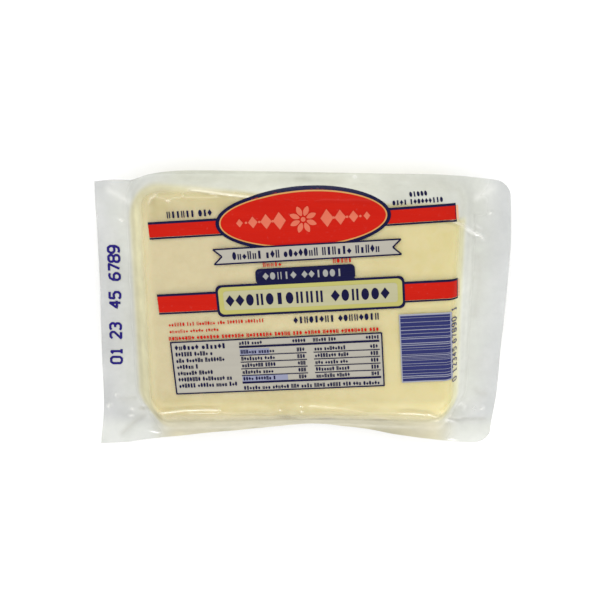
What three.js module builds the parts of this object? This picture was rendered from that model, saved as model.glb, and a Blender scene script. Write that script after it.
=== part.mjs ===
// A vacuum-sealed film pouch with a slab of cheese inside, lying on its back.
// Millimetres. +X runs along the pouch, +Y to its top edge, +Z up out of the printed face.
// The film clings to the slab's two faces, and the two films meet in a flange half way up.
import * as THREE from "three";

const { degToRad, smoothstep } = THREE.MathUtils;

// Slab, as the film over it shows it
const slab = { left: -58.2, right: 59.8, bottom: -37.8, top: 49.2, height: 21.5 };
const slabCorner = 8;

// Flange, where the two films are sealed together. They are thickened to hold as a solid.
const flangeHeight = 10.5;
const flangeThickness = 0.8;

// The slab's upper right corner is worn lower than the rest.
const lowCorner = { x: 60, y: 50, reachX: 18, reachY: 13, drop: 3 };

// How the film falls from the slab's edge to the flange: how wide its tent is, how much of the
// height is left at the edge, and how hollow the tent is. Along the top the flange is narrow.
// Along the bottom the cheese itself slopes out under the film to its wider back.
const sideTent = { width: 5, riseAtEdge: 0.45, power: 1.4 };
const topTent = { width: 2.6, riseAtEdge: 0.45, power: 1.4 };
const bottomTent = { width: 9.8, riseAtEdge: 0.83, power: 1.1 };
const backSlope = 9.4;
const roundedEdge = 6;

// Soft bends of the flange up (+) or down (-) from its height
const bends = [
  { x: 8, y: -50, reachX: 36, reachY: 8, lift: -7.5 },
  { x: -76, y: -51, reachX: 12, reachY: 9, lift: 2.5 },
  { x: 72, y: -49, reachX: 14, reachY: 8, lift: 2 },
  { x: -72, y: 48, reachX: 12, reachY: 10, lift: 1.5 },
  { x: -76, y: 12, reachX: 9, reachY: 18, lift: -1.2 },
  { x: 76, y: 22, reachX: 9, reachY: 13, lift: 1.4 },
  { x: 76, y: -14, reachX: 9, reachY: 13, lift: -1.2 },
  { x: 60, y: 51, reachX: 18, reachY: 8, lift: -1.2 },
];

// The rim seen from above, one open curve a side, clockwise from the top left corner.
// The left corners are sharp and the right ones are arcs of this radius.
const rimCorner = 6.5;
const upperArc = { x: 70.7, y: 43.2 };
const lowerArc = { x: 68.4, y: -46.2 };

function onArc(centre, degrees) {
  const angle = degToRad(degrees);
  return [centre.x + rimCorner * Math.cos(angle), centre.y + rimCorner * Math.sin(angle)];
}

const rimSides = [
  [
    [-73.8, 49.5],
    [-66.9, 50],
    [-61.5, 49.7],
    [-54.3, 51.8],
    [-45, 53],
    [-10, 52.8],
    [25, 52.1],
    [52, 51.5],
    onArc(upperArc, 80),
    onArc(upperArc, 62),
    onArc(upperArc, 42),
  ],
  [
    onArc(upperArc, 42),
    onArc(upperArc, 20),
    onArc(upperArc, -4),
    [77.8, 24],
    [77.5, -10],
    [76.4, -34],
    onArc(lowerArc, 8),
    onArc(lowerArc, -22),
    onArc(lowerArc, -45),
  ],
  [
    onArc(lowerArc, -45),
    onArc(lowerArc, -70),
    [64, -53],
    [48, -52.4],
    [24, -50],
    [7, -48.5],
    [-14, -49.3],
    [-44, -50.5],
    [-64, -52.4],
    [-77.8, -52.8],
  ],
  [
    [-77.8, -52.8],
    [-76.4, -40.6],
    [-75.7, -17],
    [-74.8, 20],
    [-73.8, 49.5],
  ],
];

const pointsPerSide = [24, 18, 24, 18];

// Points crowd towards both ends of a side, where the corners are.
function crowded(t) {
  const eased = (1 - Math.cos(Math.PI * t)) / 2;
  return 0.45 * t + 0.55 * eased;
}

function rimRing() {
  const ring = [];
  rimSides.forEach((side, index) => {
    const points = side.map(([x, y]) => new THREE.Vector3(x, y, 0));
    const curve = new THREE.CatmullRomCurve3(points, false, "centripetal");
    curve.arcLengthDivisions = 600;
    for (let i = 0; i < pointsPerSide[index]; i++) {
      ring.push(curve.getPointAt(crowded(i / pointsPerSide[index])));
    }
  });
  return ring;
}

// The slab's outline moved in by an inset, or out by a negative one, from the same corners
// as the rim, so that ring points pair up.
function slabRing(inset) {
  const left = slab.left + inset;
  const right = slab.right - inset;
  const bottom = slab.bottom + inset;
  const top = slab.top - inset;
  const radius = Math.max(slabCorner - 0.7 * inset, 1.2);
  const corners = [
    { x: left + radius, y: top - radius, start: 135 },
    { x: right - radius, y: top - radius, start: 45 },
    { x: right - radius, y: bottom + radius, start: -45 },
    { x: left + radius, y: bottom + radius, start: -135 },
  ];
  const ring = [];
  corners.forEach((corner, index) => {
    const next = corners[(index + 1) % corners.length];
    const quarter = (Math.PI / 4) * radius;
    const straight = Math.hypot(next.x - corner.x, next.y - corner.y);
    const whole = straight + 2 * quarter;
    for (let i = 0; i < pointsPerSide[index]; i++) {
      const along = crowded(i / pointsPerSide[index]) * whole;
      const start = degToRad(corner.start);
      const end = start - Math.PI / 4;
      if (along < quarter) {
        const angle = start - along / radius;
        ring.push(arcPoint(corner, radius, angle));
      } else if (along < quarter + straight) {
        const from = arcPoint(corner, radius, end);
        const to = arcPoint(next, radius, end);
        ring.push(from.lerp(to, (along - quarter) / straight));
      } else {
        const angle = end - (along - quarter - straight) / radius;
        ring.push(arcPoint(next, radius, angle));
      }
    }
  });
  return ring;
}

function arcPoint(centre, radius, angle) {
  return new THREE.Vector3(
    centre.x + radius * Math.cos(angle),
    centre.y + radius * Math.sin(angle),
    0,
  );
}

function bump(x, y, at) {
  return Math.exp(-(((x - at.x) / at.reachX) ** 2) - ((y - at.y) / at.reachY) ** 2);
}

function flangeAt(x, y) {
  return bends.reduce((z, bend) => z + bend.lift * bump(x, y, bend), flangeHeight);
}

function insetAt(x, y) {
  const reachX = (slab.right - slab.left) / 2 - slabCorner;
  const reachY = (slab.top - slab.bottom) / 2 - slabCorner;
  const overX = Math.abs(x - (slab.left + slab.right) / 2) - reachX;
  const overY = Math.abs(y - (slab.bottom + slab.top) / 2) - reachY;
  const outside = Math.hypot(Math.max(overX, 0), Math.max(overY, 0));
  return slabCorner - outside - Math.min(Math.max(overX, overY), 0);
}

// 1 along the middle of the top or bottom side, 0 on the other sides
function nearTop(x, y) {
  const fromMiddle = Math.abs(x - (slab.left + slab.right) / 2);
  return smoothstep(y, 40, 49) * smoothstep(-fromMiddle, -62, -52);
}

function nearBottom(x, y) {
  const fromMiddle = Math.abs(x - (slab.left + slab.right) / 2);
  return smoothstep(-y, 30, 37) * smoothstep(-fromMiddle, -61, -53);
}

function tentAt(x, y, name) {
  const top = nearTop(x, y) * (topTent[name] - sideTent[name]);
  const bottom = nearBottom(x, y) * (bottomTent[name] - sideTent[name]);
  return sideTent[name] + top + bottom;
}

// How far the front film has risen from the flange, 0, to the slab's face, 1
function frontRise(x, y) {
  const inset = insetAt(x, y);
  const atEdge = tentAt(x, y, "riseAtEdge");
  if (inset > 0) {
    const left = Math.max(1 - inset / roundedEdge, 0);
    return atEdge + (1 - atEdge) * Math.sqrt(1 - left ** 2);
  }
  const share = Math.max(1 + inset / tentAt(x, y, "width"), 0);
  return atEdge * share ** tentAt(x, y, "power");
}

function backRise(x, y) {
  const inset = insetAt(x, y);
  const left = Math.max(1 - inset / roundedEdge, 0);
  const share = Math.max(1 + inset / tentAt(x, y, "width"), 0);
  const { riseAtEdge, power } = sideTent;
  const inside = riseAtEdge + (1 - riseAtEdge) * Math.sqrt(1 - left ** 2);
  const plain = inset > 0 ? inside : riseAtEdge * share ** power;
  const out = Math.min(Math.max(-inset / backSlope, 0), 1);
  const bottom = nearBottom(x, y);
  return plain * (1 - bottom) + (1 - out ** 2) * bottom;
}

function frontHeight(x, y) {
  const base = flangeAt(x, y) + flangeThickness / 2;
  const face = slab.height - lowCorner.drop * bump(x, y, lowCorner);
  return base + frontRise(x, y) * (face - base);
}

function backHeight(x, y) {
  const base = flangeAt(x, y) - flangeThickness / 2;
  return base * (1 - backRise(x, y));
}

// Rings from the rim inwards: shares of the way over the flange and up the tent, then insets
const flangeShares = [0, 0.5, 1];
const tentShares = [0.25, 0.5, 0.75, 1];
const slabInsets = [0.5, 1.6, 3.4, 6, 12, 22, 34];

function planRings() {
  const rim = rimRing();
  const edge = slabRing(0);
  const foot = rim.map((point, i) => {
    const margin = point.distanceTo(edge[i]);
    const width = Math.min(tentAt(edge[i].x, edge[i].y, "width"), 0.92 * margin);
    return edge[i].clone().lerp(point, width / margin);
  });
  const between = (from, to, share) => from.map((point, i) => point.clone().lerp(to[i], share));
  return [
    ...flangeShares.map((share) => between(rim, foot, share)),
    ...tentShares.map((share) => between(foot, edge, share)),
    ...slabInsets.map(slabRing),
  ];
}

function pouch() {
  const rings = planRings();
  const around = rings[0].length;
  const positions = [];
  const index = [];
  const faces = [frontHeight, backHeight];
  const perFace = rings.length * around + 1;
  const centreX = (slab.left + slab.right) / 2;
  const centreY = (slab.bottom + slab.top) / 2;

  faces.forEach((height, face) => {
    const flip = face === 0;
    const first = face * perFace;
    rings.flat().forEach(({ x, y }) => positions.push(x, y, height(x, y)));
    positions.push(centreX, centreY, height(centreX, centreY));
    const triangle = (a, b, c) => (flip ? index.push(a, c, b) : index.push(a, b, c));
    for (let r = 0; r + 1 < rings.length; r++) {
      for (let i = 0; i < around; i++) {
        const next = (i + 1) % around;
        const outer = first + r * around;
        const inner = outer + around;
        triangle(outer + i, inner + next, inner + i);
        triangle(outer + i, outer + next, inner + next);
      }
    }
    const last = first + (rings.length - 1) * around;
    for (let i = 0; i < around; i++) {
      triangle(last + i, last + ((i + 1) % around), first + perFace - 1);
    }
  });

  // The rim's own thickness joins the two faces.
  for (let i = 0; i < around; i++) {
    const next = (i + 1) % around;
    index.push(i, next, perFace + i);
    index.push(next, perFace + next, perFace + i);
  }

  const geometry = new THREE.BufferGeometry();
  geometry.setAttribute("position", new THREE.Float32BufferAttribute(positions, 3));
  geometry.setIndex(index);
  geometry.computeVertexNormals();
  return geometry;
}

const pack = new THREE.Mesh(
  pouch(),
  new THREE.MeshStandardMaterial({ color: 0xe0d8ae, roughness: 0.35 }),
);
pack.name = "sealed_pack";

const group = new THREE.Group();
group.name = "vacuum_packed_cheese_slab";
group.add(pack);

export default group;
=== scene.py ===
"""A slab of cheese sealed in a clear film pouch, seen from above, on a pale floor."""
import math

import bmesh
import bpy
import numpy as np
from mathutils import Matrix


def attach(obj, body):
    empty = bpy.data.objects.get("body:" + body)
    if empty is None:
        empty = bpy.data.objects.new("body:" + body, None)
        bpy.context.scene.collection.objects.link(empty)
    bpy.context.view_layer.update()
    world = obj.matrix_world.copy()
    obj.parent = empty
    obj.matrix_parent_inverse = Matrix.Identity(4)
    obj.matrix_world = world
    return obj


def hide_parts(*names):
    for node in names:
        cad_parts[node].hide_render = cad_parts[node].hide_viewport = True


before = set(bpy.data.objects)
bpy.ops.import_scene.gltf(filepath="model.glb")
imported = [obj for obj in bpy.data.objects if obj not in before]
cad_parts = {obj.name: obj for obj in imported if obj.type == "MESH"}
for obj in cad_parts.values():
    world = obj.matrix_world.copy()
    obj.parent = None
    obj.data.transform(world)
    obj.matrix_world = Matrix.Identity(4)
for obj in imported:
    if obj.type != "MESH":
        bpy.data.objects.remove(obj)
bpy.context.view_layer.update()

MM = 0.001

# Shape of the pouch, in mm, as the solid has it
SLAB_LEFT, SLAB_RIGHT, SLAB_BOTTOM, SLAB_TOP = -58.2, 59.8, -37.8, 49.2
MIDDLE_X = (SLAB_LEFT + SLAB_RIGHT) / 2
MIDDLE_Y = (SLAB_BOTTOM + SLAB_TOP) / 2
SLAB_HEIGHT = 21.5
SLAB_CORNER = 8.0
FLANGE_HEIGHT = 10.5
FLANGE_THICKNESS = 0.24
ROUNDED_EDGE = 6.0
RIM_CORNER = 6.5
UPPER_ARC = (70.7, 43.2)
LOWER_ARC = (68.4, -46.2)

# The tent of film between slab and flange: its width, the rise left at the slab's edge and
# how hollow it is. Along the bottom the cheese slopes out under it to a wider back.
SIDE_TENT = (5.0, 0.45, 1.4)
TOP_TENT = (2.6, 0.45, 1.4)
BOTTOM_TENT = (9.8, 0.83, 1.1)
BACK_SLOPE = 9.4
TENT_SHARE = 0.92
SOFT_FOOT = 0.15

# Soft bends of the flange: x, y, reach x, reach y, lift
BENDS = [
    (8, -50, 36, 8, -7.5),
    (-76, -51, 12, 9, 2.5),
    (72, -49, 14, 8, 2.0),
    (-72, 48, 12, 10, 1.5),
    (-76, 12, 9, 18, -1.2),
    (76, 22, 9, 13, 1.4),
    (76, -14, 9, 13, -1.2),
    (60, 51, 18, 8, -1.2),
]
# The slab's worn corner: x, y, reach x, reach y
LOW_CORNER = (60, 50, 18, 13)
LOW_CORNER_DROP = 3.0

# Along the top the slab's face ends at a shoulder, which falls towards the right.
SHOULDER_START = (-40, 47.6)
SHOULDER_SLOPE = 0.1
SHOULDER_LOWEST = 41.5
SHOULDER_DROP = 1.6

# The cheese fills the film out to this far beyond the slab's outline, with this gap below it.
SIDE_BULGE, TOP_BULGE, BOTTOM_BULGE = 2.0, 1.4, 9.2
LEFT_BULGE = 0.9
BOTTOM_SLACK = BOTTOM_BULGE - SIDE_BULGE
CHEESE_GAP = 0.3

# Soft waves: seed, wavelength, height
FLANGE_SWELL = (3, 21, 0.26)
FLANGE_RIPPLE = (4, 7, 0.06)
FACE_SWELL = (8, 16, 0.05)
EDGE_RIPPLE = (7, 5, 0.07)
BACK_RIPPLE = (9, 6, 0.08)
CHEESE_SWELL = (21, 9, 0.06)
HAZE_SWELL = (32, 12, 0.06)
WAVE_COUNT = 9

# A crease's fade at its ends, its reach in widths and the power of its profile
CREASE_FADE, CREASE_REACH, CREASE_POWER = 3.0, 3.5, 1.6


def on_arc(centre, *degrees):
    """Points of a round corner of the rim, at these angles."""
    x, y = centre
    angles = [math.radians(angle) for angle in degrees]
    return [(x + RIM_CORNER * math.cos(a), y + RIM_CORNER * math.sin(a)) for a in angles]


# The rim seen from above, one open curve a side, clockwise from the top left corner
RIM_SIDES = [
    [
        (-73.8, 49.5), (-66.9, 50), (-61.5, 49.7), (-54.3, 51.8), (-45, 53), (-10, 52.8),
        (25, 52.1), (52, 51.5), *on_arc(UPPER_ARC, 80, 62, 42),
    ],
    [
        *on_arc(UPPER_ARC, 42, 20, -4), (77.8, 24), (77.5, -10), (76.4, -34),
        *on_arc(LOWER_ARC, 8, -22, -45),
    ],
    [
        *on_arc(LOWER_ARC, -45, -70), (64, -53), (48, -52.4), (24, -50), (7, -48.5),
        (-14, -49.3), (-44, -50.5), (-64, -52.4), (-77.8, -52.8),
    ],
    [(-77.8, -52.8), (-76.4, -40.6), (-75.7, -17), (-74.8, 20), (-73.8, 49.5)],
]


def smoothstep(low, high, value):
    t = np.clip((value - low) / (high - low), 0, 1)
    return t * t * (3 - 2 * t)


def hill(value, middle, width):
    return np.exp(-(((value - middle) / width) ** 2))


def bump(x, y, at):
    """1 at a place, given with its reach along x and y, and 0 far from it."""
    middle_x, middle_y, reach_x, reach_y = at
    return hill(x, middle_x, reach_x) * hill(y, middle_y, reach_y)


def slab_inset(x, y):
    """How far inside the slab's outline a point lies, negative outside it."""
    qx = np.abs(x - MIDDLE_X) - (SLAB_RIGHT - SLAB_LEFT) / 2 + SLAB_CORNER
    qy = np.abs(y - MIDDLE_Y) - (SLAB_TOP - SLAB_BOTTOM) / 2 + SLAB_CORNER
    outside = np.hypot(np.maximum(qx, 0), np.maximum(qy, 0))
    return SLAB_CORNER - outside - np.minimum(np.maximum(qx, qy), 0)


def near_top(x, y):
    """1 along the middle of the top side, 0 on the other sides."""
    return smoothstep(40, 49, y) * smoothstep(-62, -52, -np.abs(x - MIDDLE_X))


def near_bottom(x, y, none=61, full=53):
    """1 along the middle of the bottom side, 0 on the other sides and at its ends."""
    return smoothstep(30, 37, -y) * smoothstep(-none, -full, -np.abs(x - MIDDLE_X))


def tent(x, y):
    """The tent's width, rise at the edge and hollowness at a point."""
    top, bottom = near_top(x, y), near_bottom(x, y)
    return [
        side + top * (on_top - side) + bottom * (on_bottom - side)
        for side, on_top, on_bottom in zip(SIDE_TENT, TOP_TENT, BOTTOM_TENT)
    ]


def rise(inset, width, at_edge, power):
    """0 where the film leaves the flange, 1 on the slab's face: a hollow tent, then a
    soft round over the slab's edge."""
    left = np.clip(1 - inset / ROUNDED_EDGE, 0, 1)
    share = 1 + np.minimum(inset, 0) / width
    share = (share + np.hypot(share, SOFT_FOOT)) / (1 + math.hypot(1, SOFT_FOOT))
    return np.where(inset > 0, 1 - (1 - at_edge) * left**2, at_edge * share**power)


def back_rise(x, y, inset):
    plain = rise(inset, tent(x, y)[0], *SIDE_TENT[1:])
    bottom = near_bottom(x, y)
    out = np.clip(-inset / BACK_SLOPE, 0, 1)
    return plain * (1 - bottom) + (1 - out**2) * bottom


def waves(x, y, seed, wavelength, height):
    """Smooth noise of about this height up and down, from waves in seeded directions."""
    draw = np.random.default_rng(seed)
    total = np.zeros_like(x)
    for _ in range(WAVE_COUNT):
        angle = draw.uniform(0, 2 * math.pi)
        length = wavelength * draw.uniform(0.7, 1.5)
        phase = draw.uniform(0, 2 * math.pi)
        along = x * math.cos(angle) + y * math.sin(angle)
        total += np.sin(2 * math.pi * along / length + phase)
    return height * total / math.sqrt(WAVE_COUNT)


def line_shape(x, y, path, width):
    """1 on a path and 0 a few widths from it, fading at the path's ends."""
    path = np.array(path, float)
    shape = np.zeros(np.shape(x))
    low, high = path.min(0) - CREASE_REACH * width, path.max(0) + CREASE_REACH * width
    near = (x > low[0]) & (x < high[0]) & (y > low[1]) & (y < high[1])
    if not near.any():
        return shape
    px, py = x[near], y[near]
    steps = np.hypot(*np.diff(path, axis=0).T)
    gap = np.full(px.shape, np.inf)
    where = np.zeros(px.shape)
    done = 0.0
    for start, end, step in zip(path, path[1:], steps):
        way = end - start
        t = np.clip(((px - start[0]) * way[0] + (py - start[1]) * way[1]) / step**2, 0, 1)
        distance = np.hypot(px - start[0] - t * way[0], py - start[1] - t * way[1])
        closer = distance < gap
        gap = np.where(closer, distance, gap)
        where = np.where(closer, done + t * step, where)
        done += step
    fade = min(CREASE_FADE, done / 2)
    ends = smoothstep(-0.2, fade, where) * smoothstep(-0.2, fade, done - where)
    shape[near] = ends * np.exp(-((gap / width) ** CREASE_POWER))
    return shape


# Ridges (height above 0) and grooves (below 0) of the front film: path, height, width
FRONT_CREASES = [
    ([(-40.5, 47.4), (-34.9, 47.0), (-20.8, 45.3), (-6.4, 44.0), (8, 43.3)], 0.5, 0.6),
    ([(-47.8, 44.3), (-46, 43.6), (-44.3, 44.2)], 0.42, 0.55),
    ([(-40.9, 46.1), (-40.8, 44.5)], 0.35, 0.45),
    ([(-54, 41), (-52, 44.6), (-48.5, 47.2)], 0.3, 0.9),
    ([(-3.3, 50.5), (2.1, 50.2), (11, 49.5), (22.1, 48.2), (39.8, 47.7)], -0.5, 0.9),
    ([(36.5, 46.9), (46.2, 47.1), (59, 46.1)], -0.35, 0.8),
    ([(19.2, 51.1), (20.9, 50.9)], 0.5, 0.45),
    ([(52, 37.6), (56, 35.8), (59, 34.2), (63.2, 31.2), (66.5, 29.6), (69.1, 26.9)], 0.85, 0.65),
    ([(58.5, 33), (62, 30.5), (65, 28.6)], -0.35, 0.7),
    ([(62.5, 33.6), (65, 33.2), (68, 31)], 0.3, 0.6),
    ([(-54.5, -37.6), (-51.3, -36.8), (-43.1, -35.7), (-35.9, -35.4), (-28.5, -35.5)], 0.5, 0.55),
    ([(-43.2, -36.9), (-36, -37.1), (-29, -36.9)], 0.32, 0.4),
    ([(-52.2, -39.2), (-49, -38.6), (-46, -38)], -0.4, 0.7),
    ([(-7.9, -35.3), (-6.6, -35.6)], 0.5, 0.5),
    ([(-10.1, -39.9), (-5.1, -40.4), (0.3, -41.6)], -0.7, 1.1),
    ([(0.9, -33.1), (0.9, -34.5)], 0.42, 0.45),
    ([(0.9, -35.3), (0.9, -37)], 0.5, 0.5),
    ([(8, -42.3), (10.8, -43), (14.3, -44.6)], -0.8, 1.1),
    ([(-3.5, -32.4), (5.9, -33.2), (17.2, -34.6), (26, -36.9), (32.2, -41), (38, -45)], 0.15, 0.9),
    ([(28.4, -42), (33.5, -44.2), (38.4, -46)], -0.5, 0.8),
    ([(36.5, -37.3), (41.9, -37.1), (48.4, -37.9), (54.4, -40.4)], 0.5, 0.55),
    ([(52.2, -42), (54.4, -43.3)], 0.5, 0.55),
]
# Ridges and grooves of both films together, out on the flange
FLANGE_CREASES = [
    ([(-67.3, 36), (-65.3, 35), (-63.3, 34.3)], 0.5, 0.55),
    ([(-66.8, -38.5), (-63.6, -39.6)], 0.5, 0.5),
    ([(-67.2, -41.7), (-64.1, -41.7)], 0.5, 0.5),
    ([(-74.3, -36.4), (-74.3, -39)], 1.0, 0.7),
    ([(-71.7, -32.5), (-71.2, -34.2)], 0.45, 0.45),
    ([(-62.9, -38), (-59.1, -39.5)], -0.5, 0.9),
    ([(-60.3, -47.8), (-57.2, -48.7), (-53.8, -49.7)], 0.55, 0.55),
    ([(57, -43.2), (59.9, -43.9), (66, -43.6), (73.7, -42.9)], -0.7, 0.9),
    ([(55.9, -43), (59.9, -44.3), (62.6, -44.9)], 0.5, 0.65),
    ([(69.6, -39.7), (70.9, -39.2), (72.6, -38.1)], 0.6, 0.5),
    ([(60.8, -39.7), (61.4, -37.4), (63, -36.3), (64.7, -38.2), (63.8, -40.8)], 0.32, 0.7),
    ([(57.6, -51.8), (63, -51.9)], 0.5, 0.6),
    ([(68.8, 37.3), (71, 38)], 0.5, 0.5),
    ([(-62, -34), (-67, -35.2), (-72, -34)], -0.35, 1.3),
    ([(-59, -41), (-63, -43), (-68, -47.5), (-71, -50.5)], -0.5, 1.4),
    ([(-60.5, 41), (-66, 44.5), (-71, 47.5)], 0.3, 1.2),
    ([(66, -30), (70, -32.5), (75, -33.5)], -0.3, 1.4),
    ([(62.5, 42), (68, 45.5), (72.5, 47.6)], 0.25, 1.2),
    ([(66, 24), (67.5, 12), (66.5, -4)], -0.25, 1.8),
    ([(-66, 30), (-67.5, 20), (-66.5, 12)], -0.2, 1.6),
]
# Hollows in the cheese's face that the film dips into, which also get painted shade: x, y, reach x,
# reach y, depth
HOLLOWS = [
    (-4.8, -41.2, 5.5, 1.1, 0.7),
    (10.8, -42.6, 3.8, 1.2, 0.7),
    (32.5, -43.4, 6.5, 0.9, 0.5),
    (-48.6, 46.8, 4.6, 1.5, 0.2),
    (-51.6, 43.2, 1.6, 3.0, 0.2),
    (-60.8, -38.8, 2.4, 1.0, 0.3),
    (65, -43.2, 7.0, 0.8, 0.15),
]


def spoke(x, y, angle, near, far):
    """A straight path out from a point, between two distances from it."""
    return [(x + r * math.cos(angle), y + r * math.sin(angle)) for r in (near, far)]


def gathers():
    """Short seeded creases that run out from the slab's edge, as film gathers there."""
    draw = np.random.default_rng(11)
    found = []
    # Start, end, way out in degrees, count, longest
    sides = [
        ((SLAB_LEFT, -30), (SLAB_LEFT, 42), 180, 20, 6.5),
        ((SLAB_RIGHT, -30), (SLAB_RIGHT, 30), 0, 16, 6.5),
        ((-50, SLAB_BOTTOM), (52, SLAB_BOTTOM), -90, 34, 9.0),
        ((-50, SLAB_TOP), (50, SLAB_TOP), 90, 20, 2.6),
    ]
    for start, end, outward, count, longest in sides:
        for i in range(count):
            t = (i + draw.uniform(0.1, 0.9)) / count
            x = start[0] + t * (end[0] - start[0])
            y = start[1] + t * (end[1] - start[1])
            angle = math.radians(outward + draw.normal(0, 16))
            length = longest * draw.uniform(0.4, 1.0)
            height = draw.choice([-1, 1]) * draw.uniform(0.05, 0.18)
            width = draw.uniform(0.5, 1.1)
            found.append((spoke(x, y, angle, 0.6, length), height, width))
    corners = [
        (SLAB_LEFT + 4, SLAB_BOTTOM + 4, 225),
        (SLAB_RIGHT - 4, SLAB_BOTTOM + 4, -45),
        (SLAB_LEFT + 4, SLAB_TOP - 4, 135),
        (SLAB_RIGHT - 4, SLAB_TOP - 4, 45),
    ]
    near = 6.5
    for x, y, outward in corners:
        for i in range(7):
            angle = math.radians(outward + (i - 3) * 14 + draw.normal(0, 3))
            far = near + draw.uniform(4, 10)
            height = (-1) ** i * draw.uniform(0.12, 0.3)
            width = draw.uniform(0.6, 1.1)
            found.append((spoke(x, y, angle, near, far), height, width))
    return found


GATHERS = gathers()


def creased(x, y, lines):
    """The height that creases add, and how sharp the ridges and the grooves are, 0 to 1."""
    height, ridge, groove_shade = np.zeros((3, *np.shape(x)))
    for path, rise, width in lines:
        shape = line_shape(x, y, path, width)
        height += rise * shape
        ridge = np.maximum(ridge, shape * np.clip(rise / 0.5, 0, 1))
        groove_shade = np.maximum(groove_shade, shape * np.clip(-rise / 0.5, 0, 1))
    return height, ridge, groove_shade


def flange_middle(x, y, creases=True):
    """The height where the two films of the flange meet."""
    loose = smoothstep(-1, 6, -slab_inset(x, y))
    z = FLANGE_HEIGHT + sum(lift * bump(x, y, at) for *at, lift in BENDS)
    z = z + loose * waves(x, y, *FLANGE_SWELL)
    if creases:
        z = z + loose * waves(x, y, *FLANGE_RIPPLE) + creased(x, y, FLANGE_CREASES)[0]
    return z


def shoulder(x):
    """Along the top, where the slab's flat face ends."""
    start_x, start_y = SHOULDER_START
    return np.maximum(start_y - SHOULDER_SLOPE * (x - start_x), SHOULDER_LOWEST)


def face_height(x, y):
    """The slab's face, worn at its upper right corner and bent down past the shoulder."""
    worn = LOW_CORNER_DROP * bump(x, y, LOW_CORNER)
    past = SHOULDER_DROP * smoothstep(-1.0, 7.0, y - shoulder(x))
    dips = sum(depth * bump(x, y, at) for *at, depth in HOLLOWS)
    return SLAB_HEIGHT - worn - past - dips


def film_front(x, y, creases=True):
    inset = slab_inset(x, y)
    base = flange_middle(x, y, creases) + FLANGE_THICKNESS / 2
    z = base + rise(inset, *tent(x, y)) * (face_height(x, y) - base)
    near = smoothstep(-12, -3, inset)
    z = z + near * waves(x, y, *FACE_SWELL)
    if creases:
        edge = near * smoothstep(-8, -2, -inset)
        z = z + creased(x, y, FRONT_CREASES)[0] + near * creased(x, y, GATHERS)[0]
        z = z + edge * waves(x, y, *EDGE_RIPPLE)
    return np.maximum(z, base)


def film_back(x, y, creases=True):
    inset = slab_inset(x, y)
    base = flange_middle(x, y, creases) - FLANGE_THICKNESS / 2
    z = base * (1 - back_rise(x, y, inset))
    if creases:
        near = smoothstep(-12, -3, inset) * smoothstep(-6, -1, -inset)
        z = z + near * (waves(x, y, *BACK_RIPPLE) - creased(2 * MIDDLE_X - x, y, GATHERS)[0])
    return np.clip(z, 0, base)


def centripetal(points, steps=30):
    """A centripetal Catmull-Rom curve through points."""
    points = [np.array(p, float) for p in points]
    points = [2 * points[0] - points[1]] + points + [2 * points[-1] - points[-2]]
    out = []
    for four in zip(points, points[1:], points[2:], points[3:]):
        chords = np.hypot(*np.diff(four, axis=0).T)
        knots = np.concatenate([[0], np.cumsum(chords**0.5)])
        t = np.linspace(knots[1], knots[2], steps, endpoint=False)[:, None]

        def blend(first, second, start, end):
            share = (t - knots[start]) / (knots[end] - knots[start])
            return (1 - share) * first + share * second

        a = [blend(four[i], four[i + 1], i, i + 1) for i in range(3)]
        b = [blend(a[i], a[i + 1], i, i + 2) for i in range(2)]
        out.append(blend(b[0], b[1], 1, 2))
    out.append(points[-2][None, :])
    return np.vstack(out)


def crowded(count):
    """Steps from 0 to 1 that crowd towards both ends, where the corners are."""
    t = np.arange(count) / count
    return 0.45 * t + 0.55 * (1 - np.cos(np.pi * t)) / 2


def rim_ring(counts):
    ring = []
    for side, count in zip(RIM_SIDES, counts):
        line = centripetal(side)
        along = np.concatenate([[0], np.cumsum(np.hypot(*np.diff(line, axis=0).T))])
        want = crowded(count) * along[-1]
        ring.append(np.stack([np.interp(want, along, line[:, k]) for k in (0, 1)], 1))
    return np.vstack(ring)


def slab_ring(inset, counts):
    """The slab's outline moved in by an inset, from the same corners as the rim's ring."""
    radius = max(SLAB_CORNER - 0.7 * inset, 0.6)
    half_width = (SLAB_RIGHT - SLAB_LEFT) / 2 - inset - radius
    half_height = (SLAB_TOP - SLAB_BOTTOM) / 2 - inset - radius
    sides = np.array([(-1, 1), (1, 1), (1, -1), (-1, -1)])
    middles = (MIDDLE_X, MIDDLE_Y) + sides * (half_width, half_height)
    quarter = math.pi / 4 * radius
    ring = []
    for i, count in enumerate(counts):
        start = math.radians(135 - 90 * i)
        end = start - math.pi / 4
        way = middles[(i + 1) % 4] - middles[i]
        straight = math.hypot(*way)
        along = crowded(count) * (straight + 2 * quarter)
        t = (along - quarter) / straight
        last = end - (along - quarter - straight) / radius
        angle = np.where(t < 0, start - along / radius, np.where(t < 1, end, last))
        out = radius * np.stack([np.cos(angle), np.sin(angle)], 1)
        ring.append(middles[i] + np.clip(t, 0, 1)[:, None] * way + out)
    return np.vstack(ring)


def film_rings(counts, flange_steps, tent_steps, insets):
    """Rings from the rim inwards. The tent takes at most TENT_SHARE of the margin."""
    rim = rim_ring(counts)
    edge = slab_ring(0, counts)
    margin = np.hypot(*(rim - edge).T)
    width = np.minimum(tent(edge[:, 0], edge[:, 1])[0], TENT_SHARE * margin)
    foot = edge + (rim - edge) * (width / margin)[:, None]
    rings = [rim + (foot - rim) * s for s in np.linspace(0, 1, flange_steps)]
    rings += [foot + (edge - foot) * s for s in np.linspace(0, 1, tent_steps + 1)[1:]]
    rings += [slab_ring(inset, counts) for inset in insets]
    return rings


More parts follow.
